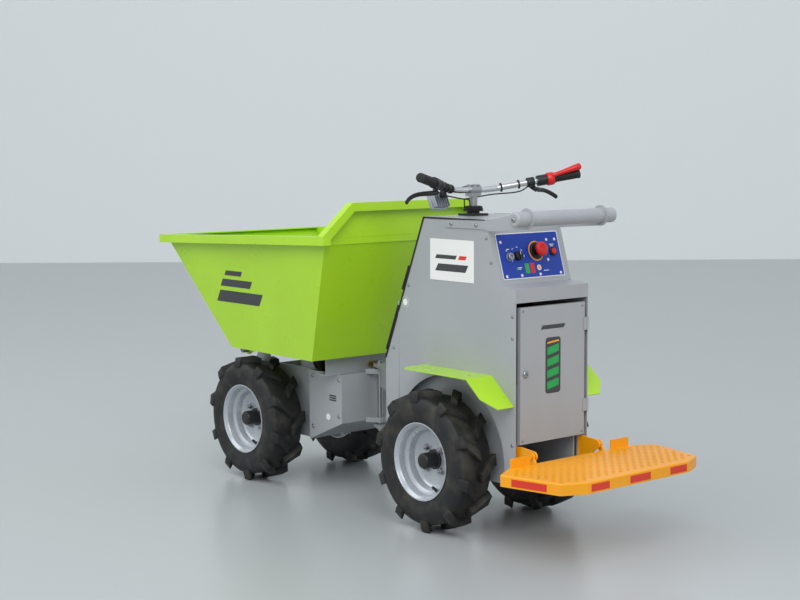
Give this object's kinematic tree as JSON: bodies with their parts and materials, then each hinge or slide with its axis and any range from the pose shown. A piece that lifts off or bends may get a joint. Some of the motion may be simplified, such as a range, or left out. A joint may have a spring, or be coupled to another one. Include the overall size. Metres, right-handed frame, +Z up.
{
  "type": "compact battery site dumper",
  "caption": "Compact battery-electric four-wheel-drive site dumper with an articulated chassis, tipping skip and fold-up ride-on platform.",
  "frame": {"origin": "on the ground, half-way along the machine, in its plane of symmetry", "axes": "+X forward towards the skip's lip, +Y to the machine's left, +Z up"},
  "size_m": [2.314, 0.85, 1.3128],
  "materials": {
    "body_grey": "satin",
    "lime": "gloss",
    "platform_yellow": "gloss",
    "tyre_rubber": "matte",
    "rim_silver": "satin",
    "black_plastic": "matte",
    "chrome": "polished",
    "red_plastic": "gloss",
    "label_blue": "satin",
    "steel": "satin",
    "rubber": "matte",
    "lamp_alloy": "satin",
    "battery_case": "matte"
  },
  "bodies": {
    "rear_frame": {"rear_chassis": "body_grey", "hinge_pin": "steel", "side_panel_left": "body_grey", "side_panel_right": "body_grey", "front_panel": "body_grey", "top_cover": "body_grey", "console": "body_grey", "console_label": "label_blue", "console_controls": "black_plastic", "stop_button": "red_plastic", "battery_pack": "battery_case", "rear_axle": "body_grey", "mudguard_left": "lime", "mudguard_right": "lime", "bar_brackets": "body_grey", "grab_bar": "body_grey", "column_mount": "black_plastic", "platform_brackets": "platform_yellow"},
    "handlebar": {"steering_stem": "steel", "handlebar": "chrome", "grips": "rubber", "switch_housings": "black_plastic", "brake_levers": "black_plastic", "tip_lever": "red_plastic", "work_lamp": "lamp_alloy"},
    "door": {"battery_door": "body_grey"},
    "platform": {"platform": "platform_yellow"},
    "front_frame": {"front_chassis": "body_grey", "cross_beam": "body_grey", "front_axle": "body_grey"},
    "skip": {"skip_shell": "lime", "skip_rim": "lime", "skip_brackets": "lime"},
    "actuator_barrel": {"actuator_barrel": "black_plastic"},
    "actuator_rod": {"actuator_rod": "chrome"},
    "wheel_front_left": {"tyre_front_left": "tyre_rubber", "rim_front_left": "rim_silver"},
    "wheel_front_right": {"tyre_front_right": "tyre_rubber", "rim_front_right": "rim_silver"},
    "wheel_rear_left": {"tyre_rear_left": "tyre_rubber", "rim_rear_left": "rim_silver"},
    "wheel_rear_right": {"tyre_rear_right": "tyre_rubber", "rim_rear_right": "rim_silver"}
  },
  "joints": [
    {"name": "steering", "type": "hinge", "parent": "rear_frame", "child": "handlebar", "pos_m": [-0.343, 0, 1.16], "axis": [0, 0, 1], "range_deg": [-30, 30]},
    {"name": "articulation", "type": "hinge", "parent": "rear_frame", "child": "front_frame", "pos_m": [0.203, 0, 0.38], "axis": [0, 0, 1], "range_deg": [-30, 30]},
    {"name": "skip_tip", "type": "hinge", "parent": "front_frame", "child": "skip", "pos_m": [0.815, 0, 0.525], "axis": [0, 1, 0], "range_deg": [0, 60]},
    {"name": "actuator_swing", "type": "hinge", "parent": "front_frame", "child": "actuator_barrel", "pos_m": [0.45, 0, 0.262], "axis": [0, -1, 0], "range_deg": [0, 1.8]},
    {"name": "actuator_stroke", "type": "slide", "parent": "actuator_barrel", "child": "actuator_rod", "axis": [0.5912, 0, 0.8065], "range_m": [0, 0.16976]},
    {"name": "platform_fold", "type": "hinge", "parent": "rear_frame", "child": "platform", "pos_m": [-0.815, 0, 0.318], "axis": [0, -1, 0], "range_deg": [-90, 0]},
    {"name": "door_hinge", "type": "hinge", "parent": "rear_frame", "child": "door", "pos_m": [-0.756, -0.17, 0.58], "axis": [0, 0, 1], "range_deg": [0, 110]},
    {"name": "wheel_front_left_spin", "type": "hinge", "parent": "front_frame", "child": "wheel_front_left", "pos_m": [0.72, 0.24, 0.254], "axis": [0, 1, 0], "continuous": true},
    {"name": "wheel_front_right_spin", "type": "hinge", "parent": "front_frame", "child": "wheel_front_right", "pos_m": [0.72, -0.24, 0.254], "axis": [0, 1, 0], "continuous": true},
    {"name": "wheel_rear_left_spin", "type": "hinge", "parent": "rear_frame", "child": "wheel_rear_left", "pos_m": [-0.4, 0.24, 0.254], "axis": [0, 1, 0], "continuous": true},
    {"name": "wheel_rear_right_spin", "type": "hinge", "parent": "rear_frame", "child": "wheel_rear_right", "pos_m": [-0.4, -0.24, 0.254], "axis": [0, 1, 0], "continuous": true}
  ],
  "couplings": [
    {"joint": "articulation", "follows": "steering", "ratio": 1},
    {"joint": "actuator_swing", "follows": "skip_tip", "ratio": 0.029662},
    {"joint": "actuator_stroke", "follows": "skip_tip", "m_per_rad": 0.16192}
  ]
}
